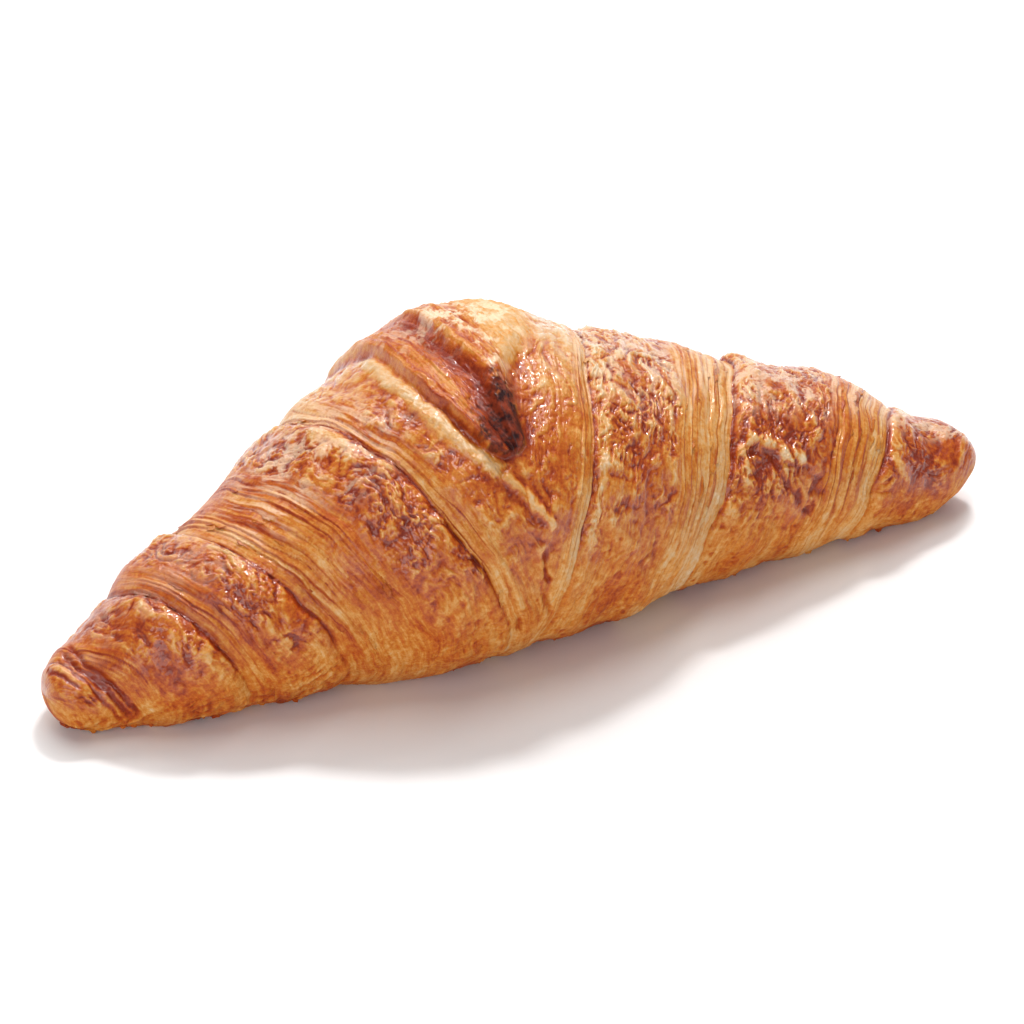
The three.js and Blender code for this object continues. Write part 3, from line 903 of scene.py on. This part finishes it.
class Nodes:
    """Short calls to build one material's node tree."""

    def __init__(self, name):
        self.material = bpy.data.materials.new(name)
        self.material.use_nodes = True
        self.tree = self.material.node_tree
        self.tree.nodes.clear()
        self.output = self.add("ShaderNodeOutputMaterial")

    def add(self, kind, inputs=None, **settings):
        node = self.tree.nodes.new(kind)
        for key, value in settings.items():
            setattr(node, key, value)
        for key, value in (inputs or {}).items():
            self.put(node.inputs[key], value)
        return node

    def put(self, socket, value):
        if isinstance(value, bpy.types.NodeSocket):
            self.tree.links.new(value, socket)
        else:
            socket.default_value = value

    def attribute(self, name):
        return self.add("ShaderNodeAttribute", attribute_name=name).outputs["Fac"]

    def math(self, operation, a, b=0.0, c=0.0, use_clamp=False):
        node = self.add("ShaderNodeMath", operation=operation, use_clamp=use_clamp)
        for socket, value in zip(node.inputs, (a, b, c)):
            self.put(socket, value)
        return node.outputs[0]

    def noise(self, scale, detail, roughness, vector):
        inputs = {"Scale": scale, "Detail": detail, "Roughness": roughness, "Vector": vector}
        return self.add("ShaderNodeTexNoise", inputs).outputs[0]

    def ramp(self, value, stops):
        node = self.add("ShaderNodeValToRGB", {"Fac": value})
        elements = node.color_ramp.elements
        while len(elements) < len(stops):
            elements.new(0.5)
        for element, (place, tone) in zip(elements, stops):
            element.position = place
            element.color = tone
        return node.outputs[0]

    def mix(self, factor, a, b):
        node = self.add("ShaderNodeMix", data_type="RGBA")
        self.put(node.inputs[0], factor)
        self.put(node.inputs[6], a)
        self.put(node.inputs[7], b)
        return node.outputs[2]


def crust_material():
    n = Nodes("crust")
    place = n.add("ShaderNodeTexCoord").outputs["Object"]
    # The browning field carries painted shade in hollows and creases.
    browning_and_shade = n.attribute("browning_and_shade")
    glaze = n.attribute("glaze")
    char = n.attribute("char")
    groove_browning_and_shade = n.attribute("groove_browning_and_shade")
    lengthwise = n.add("ShaderNodeCombineXYZ", {
        "X": n.attribute("along"),
        "Y": n.math("MULTIPLY", n.attribute("around"), FIBRE_SQUEEZE),
    }).outputs[0]
    fibres = n.noise(1.6, 5.0, 0.65, lengthwise)
    flecks = n.noise(1500.0, 4.0, 0.65, place)
    clouds = n.noise(550.0, 5.0, 0.65, place)
    toasted_and_shaded = n.math("MULTIPLY_ADD", n.math("SUBTRACT", flecks, 0.5), 0.5, browning_and_shade)
    toasted_and_shaded = n.math("MULTIPLY_ADD", n.math("SUBTRACT", clouds, 0.5), 0.5, toasted_and_shaded)
    fibrous = n.math("MULTIPLY", n.math("SUBTRACT", fibres, 0.5), n.attribute("fibrous"))
    toasted_and_shaded = n.math("MULTIPLY_ADD", fibrous, 0.8, toasted_and_shaded)
    base = n.ramp(toasted_and_shaded, CRUST_COLOURS)
    # The painted sheen: pale pink laid over the upper side where the lights reflect.
    painted_sheen_amount = n.math("MULTIPLY_ADD", n.math("SUBTRACT", flecks, 0.5), 4.0, 1.0, True)
    painted_sheen_amount = n.math("MULTIPLY", painted_sheen_amount, n.attribute("painted_sheen"))
    base = n.mix(n.math("MULTIPLY", painted_sheen_amount, 0.6), base, PAINTED_SHEEN_COLOUR)
    # The grooves' dark red-brown: partly browning, partly painted shade.
    base = n.mix(n.math("MULTIPLY", groove_browning_and_shade, 0.55), base, GROOVE_BROWN_AND_SHADE_COLOUR)
    base = n.mix(char, base, n.ramp(clouds, CHAR_COLOURS))
    rough = n.math("MULTIPLY_ADD", glaze, -0.24, 0.56)
    rough = n.math("MULTIPLY_ADD", n.math("SUBTRACT", clouds, 0.5), 0.3, rough)
    bumps = n.math("MULTIPLY_ADD", n.noise(2800.0, 3.0, 0.6, place), 0.35, flecks)
    bumps = n.math("ADD", fibrous, bumps)
    bump = n.add("ShaderNodeBump", {"Strength": 0.5, "Distance": 0.0004, "Height": bumps})
    shader = n.add("ShaderNodeBsdfPrincipled", {
        "Base Color": base,
        "Roughness": rough,
        "Normal": bump.outputs[0],
        "Subsurface Weight": 0.08,
        "Subsurface Radius": (0.0020, 0.0010, 0.0005),
        "Subsurface Scale": 1.0,
        "Specular IOR Level": 0.2,
        "Coat Roughness": 0.08,
        "Coat Weight": glaze,
    })
    n.put(n.output.inputs["Surface"], shader.outputs[0])
    return n.material


def floor_material():
    n = Nodes("floor")
    shader = n.add("ShaderNodeBsdfPrincipled", {"Base Color": (0.9, 0.9, 0.9, 1.0), "Roughness": 0.7})
    n.put(n.output.inputs["Surface"], shader.outputs[0])
    return n.material


def add_piece(name, mesh, material):
    flip_if_inward(mesh)
    mesh.materials.append(material)
    piece = bpy.data.objects.new(name, mesh)
    bpy.context.scene.collection.objects.link(piece)
    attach(piece, "root")
    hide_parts("croissant")


def scatter(weight, count):
    """Cells of the grid, picked by weight."""
    picked = rng.choice(weight.size, size=count, replace=False, p=(weight / weight.sum()).ravel())
    return list(zip(*np.unravel_index(picked, weight.shape)))


def axes_at(points, ring, column):
    """The surface's place at a grid cell, and its directions along, around and out."""
    columns = points.shape[1]
    along = points[ring + 6, column] - points[ring - 6, column]
    around = points[ring, (column + 4) % columns] - points[ring, (column - 4) % columns]
    out = np.cross(along, around)
    along, around, out = (v / np.linalg.norm(v) for v in (along, around, out))
    middle = points[ring].mean(axis=0)
    if np.dot(out, points[ring, column] - middle) < 0:
        out = -out
    return points[ring, column], along, around, out


def flake(outward, around, out, half_length, half_width, lift):
    """A thin scale, sunk at its inner side and lifted at its outer one: its vertices and faces."""
    turn = np.arange(FLAKE_SIDES) * 2 * math.pi / FLAKE_SIDES
    edge = 1 + 0.3 * rng.uniform(-1, 1, FLAKE_SIDES)
    rounds = [(0, np.zeros(1), np.zeros(1))]
    for share in (0.55, 1.0):
        rounds.append((share, share * edge * np.cos(turn), share * edge * np.sin(turn)))
    layers = []
    for side in (1, -1):
        for share, u, v in rounds:
            curl = lift * (0.5 + 0.5 * v) ** 2 - FLAKE_SUNK + 0.1 * lift * rng.normal(size=len(u)) * share
            level = curl + side * 0.5 * FLAKE_THICK * (1 - 0.5 * share)
            flat = u[:, None] * half_length * around + v[:, None] * half_width * outward
            layers.append(flat + level[:, None] * out)
    n = FLAKE_SIDES
    one_face = 1 + 2 * n
    faces = []
    for i in range(n):
        j = (i + 1) % n
        for start, inner_first in ((0, True), (one_face, False)):
            middle, inner, outer = start, start + 1, start + 1 + n
            found = [
                (middle, inner + i, inner + j),
                (inner + i, outer + i, outer + j),
                (inner + i, outer + j, inner + j),
            ]
            faces += found if inner_first else [face[::-1] for face in found]
        top, bottom = 1 + n, one_face + 1 + n
        faces += [(top + i, bottom + i, bottom + j), (top + i, bottom + j, top + j)]
    return np.concatenate(layers), faces


def crumb(size):
    """A small lump: its vertices and faces."""
    ball = bmesh.new()
    bmesh.ops.create_icosphere(ball, subdivisions=2, radius=1)
    places = np.array([v.co for v in ball.verts])
    faces = [tuple(v.index for v in face.verts) for face in ball.faces]
    ball.free()
    shift = 10 * rng.random(3)
    lumps = noise(*(1.1 * places.T + shift[:, None]))
    return places * size * (1 + 0.45 * lumps)[:, None] * rng.uniform(0.7, 1.2, 3), faces


def joined_mesh(name, parts, fields):
    """One mesh of many small closed parts, each with the crust's fields where it sits."""
    vertices, faces, cells = [], [], []
    for places, part_faces, cell in parts:
        faces += [tuple(i + len(vertices) for i in face) for face in part_faces]
        vertices += (places * MM).tolist()
        cells += [cell] * len(places)
    mesh = bpy.data.meshes.new(name)
    mesh.from_pydata(vertices, [], faces)
    ring, column = np.array(cells).T
    for field, values in fields.items():
        attribute = mesh.attributes.new(field, "FLOAT", "POINT")
        attribute.data.foreach_set("value", values[ring, column].astype(np.float32))
    mesh.shade_smooth()
    return mesh


def build_flakes(surface, points, fields, lips, material):
    """Scales that stand off the lips of the cut layers."""
    clear = (np.abs(surface.x) < FLAKES_END) * smooth((points[..., 2] - 4) / 2)
    parts = []
    for ring, column in scatter(lips * clear, FLAKES):
        place, along, around, out = axes_at(points, ring, column)
        outward = along * (1 if (along[0] > 0) == (place[0] > V_CENTRE) else -1)
        sizes = [rng.uniform(*limits) for limits in (FLAKE_HALF_LENGTH, FLAKE_HALF_WIDTH, FLAKE_LIFT)]
        places, faces = flake(outward, around, out, *sizes)
        parts.append((places + place, faces, (ring, column)))
    tinted = dict(fields, groove_browning_and_shade=0.3 * fields["groove_browning_and_shade"])
    add_piece("croissant_flakes", joined_mesh("croissant_flakes", parts, tinted), material)


def build_crumbs(surface, points, fields, material):
    """Crumbs caught along the lower edge."""
    inner = np.zeros(fields["browning_and_shade"].shape)
    inner[PLAIN_END_RINGS:-PLAIN_END_RINGS] = 1
    near_base = bump_at(points[..., 2], CRUMB_LEVEL, 1.6) * (0.15 + smooth((-45 - surface.x) / 20)) * inner
    parts = []
    for ring, column in scatter(near_base, CRUMBS):
        size = rng.uniform(*CRUMB_SIZE)
        places, faces = crumb(size)
        place, _, _, out = axes_at(points, ring, column)
        places = places + place - CRUMB_SUNK_SHARE * size * out
        if places[:, 2].min() > CRUMB_CLEAR_OF_FLOOR:
            parts.append((places, faces, (ring, column)))
    add_piece("croissant_crumbs", joined_mesh("croissant_crumbs", parts, fields), material)


def build_croissant():
    rings, columns = ((RINGS, COLUMNS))
    surface = Surface(rings, columns)
    crust = Crust(surface)
    fields = crust.fields()
    material = crust_material()
    x, y, z = surface.point(crust.relief)
    add_piece("croissant_crust", grid_mesh("croissant_crust", (x, y, z), fields), material)
    points = np.stack([x, y + SHIFT_Y, z], axis=-1)
    build_flakes(surface, points, fields, crust.lips(), material)
    build_crumbs(surface, points, fields, material)


# Stage

CAMERA_TURN = 23.96  # degrees round from the front, to the left
CAMERA_RISE = 34.0
CAMERA_DISTANCE = 900.0
CAMERA_LOOKS_AT = np.array([0.0, SHIFT_Y, 22.0])
CAMERA_ASIDE = -1.97
CAMERA_ABOVE = -1.67
LENS = 185.0
FLOOR_SIZE = 8.0  # metres
SENSOR = 36.0  # mm wide

# Each light's name, place and size in metres, and power in watts
LIGHTS = [
    ("key", (0.10, 0.70, 1.08), (1.8, 0.35), 9.0),
    ("backdrop", (0.5, 1.6, 0.45), (2.6, 0.8), 5.0),
    ("spark", (0.35, 0.45, 1.1), (0.2, 0.14), 7.0),
    ("top", (0.05, -0.05, 1.2), (1.0, 0.25), 4.5),
    ("fill", (-1.35, -1.0, 0.75), (1.6, 1.0), 13.0),
    ("front", (0.9, -1.5, 0.35), (1.6, 0.5), 4.0),
]
LIGHTS_AIM = (0, 0, 0.02)
WORLD_LIGHT = 0.2


def add_floor():
    mesh = bpy.data.meshes.new("floor")
    h = FLOOR_SIZE / 2
    mesh.from_pydata([(-h, -h, 0), (h, -h, 0), (h, h, 0), (-h, h, 0)], [], [(0, 1, 2, 3)])
    mesh.materials.append(floor_material())
    floor = bpy.data.objects.new("floor", mesh)
    bpy.context.scene.collection.objects.link(floor)


def add_camera():
    turn, rise = math.radians(CAMERA_TURN), math.radians(CAMERA_RISE)
    back = np.array([-math.sin(turn) * math.cos(rise), -math.cos(turn) * math.cos(rise), math.sin(rise)])
    right = np.array([math.cos(turn), -math.sin(turn), 0.0])
    up = np.cross(back, right)
    place = CAMERA_LOOKS_AT + CAMERA_ASIDE * right + CAMERA_ABOVE * up + CAMERA_DISTANCE * back
    data = bpy.data.cameras.new("camera")
    data.sensor_width = SENSOR
    data.lens = LENS
    data.clip_end = 50.0
    camera = bpy.data.objects.new("camera", data)
    bpy.context.scene.collection.objects.link(camera)
    axes = np.eye(4)
    axes[:3, 0] = right
    axes[:3, 1] = up
    axes[:3, 2] = back
    axes[:3, 3] = place * MM
    camera.matrix_world = mathutils.Matrix(axes.tolist())
    bpy.context.scene.camera = camera


def add_light(name, place, size, power):
    data = bpy.data.lights.new(name, "AREA")
    data.shape = "RECTANGLE"
    data.size, data.size_y = size
    data.energy = power
    light = bpy.data.objects.new(name, data)
    light.location = place
    direction = mathutils.Vector(LIGHTS_AIM) - mathutils.Vector(place)
    light.rotation_euler = direction.to_track_quat("-Z", "Y").to_euler()
    bpy.context.scene.collection.objects.link(light)


def add_lights():
    for light in LIGHTS:
        add_light(*light)
    world = bpy.data.worlds.new("studio")
    world.use_nodes = True
    background = world.node_tree.nodes["Background"]
    background.inputs["Color"].default_value = (1.0, 1.0, 1.0, 1.0)
    background.inputs["Strength"].default_value = WORLD_LIGHT
    bpy.context.scene.world = world
    bpy.context.scene.view_settings.view_transform = "Standard"


build_croissant()
add_floor()
add_camera()
add_lights()
